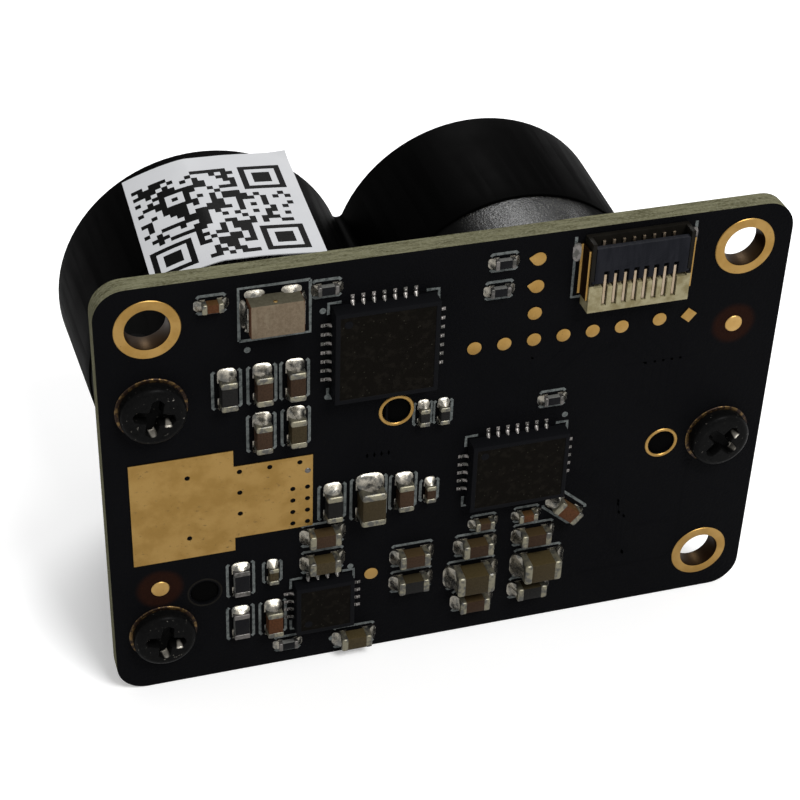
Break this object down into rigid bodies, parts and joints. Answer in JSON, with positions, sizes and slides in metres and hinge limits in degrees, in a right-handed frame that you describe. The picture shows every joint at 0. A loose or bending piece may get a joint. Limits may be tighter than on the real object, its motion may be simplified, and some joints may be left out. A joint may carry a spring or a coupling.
{
  "type": "lidar scanner module",
  "caption": "Compact lidar rangefinder: twin-lens housing screwed to the front of a small black circuit board, with a flip-lock flat cable socket on the back.",
  "frame": {"origin": "on the flat front rim of the lens barrel, midway between the transmit and the receive lens axes", "axes": "+Y along the lens axes, the way the sensor looks; +Z towards the board edge that has the cable socket; +X to the right when the component side is looked at"},
  "size_m": [0.0336, 0.0196, 0.0236],
  "materials": {
    "solder_mask": "satin black solder mask on glass epoxy board",
    "gold": "dull immersion gold",
    "textured_black": "black, fine blasted texture",
    "satin_black": "black, smooth satin",
    "lens_glass": "clear, coated",
    "ring_black": "matt black",
    "filter_glass": "dark red, mirror-like",
    "ceramic_white": "white ceramic",
    "package_black": "black moulded epoxy",
    "label_film": "satin white film with a printed pattern",
    "screw_black": "black zinc on steel",
    "socket_ivory": "ivory nylon",
    "flap_dark": "blue-black nylon",
    "contact_gold": "gold flash",
    "tin": "bright tin and solder",
    "inductor_grey": "grey-brown moulded iron powder",
    "ceramic_brown": "brown fired ceramic",
    "resistor_black": "black glass over white ceramic"
  },
  "bodies": {
    "module": {"circuit_board": "solder_mask", "mounting_hole_rings": "gold", "screw_lands": "gold", "locating_hole_rings": "gold", "heat_spreading_pad": "gold", "test_points": "gold", "fiducial_marks": "gold", "base_housing": "textured_black", "lens_barrel": "satin_black", "transmit_lens": "lens_glass", "receive_lens": "lens_glass", "transmit_lens_ring": "ring_black", "receive_lens_ring": "ring_black", "receive_filter": "filter_glass", "laser_emitter": "ceramic_white", "light_sensor": "package_black", "sensor_glass": "lens_glass", "code_label": "label_film", "housing_screws": "screw_black", "socket_housing": "socket_ivory", "socket_contacts": "contact_gold", "socket_nails": "contact_gold", "main_controller": "package_black", "signal_processor": "package_black", "voltage_regulator": "package_black", "main_controller_leads": "tin", "signal_processor_leads": "tin", "voltage_regulator_leads": "tin", "power_inductor": "inductor_grey", "inductor_terminals": "tin", "small_capacitor_bodies": "ceramic_brown", "medium_capacitor_bodies": "ceramic_brown", "large_capacitor_bodies": "ceramic_brown", "small_resistor_bodies": "resistor_black", "large_resistor_bodies": "resistor_black", "small_capacitor_ends": "tin", "medium_capacitor_ends": "tin", "large_capacitor_ends": "tin", "small_resistor_ends": "tin", "large_resistor_ends": "tin", "solder_joints": "tin"},
    "flap": {"socket_flap": "flap_dark"}
  },
  "joints": [
    {"name": "flap_hinge", "type": "hinge", "parent": "module", "child": "flap", "pos_m": [0.00932, -0.0193, 0.00935], "axis": [1, 0, 0], "range_deg": [0, 90]}
  ]
}
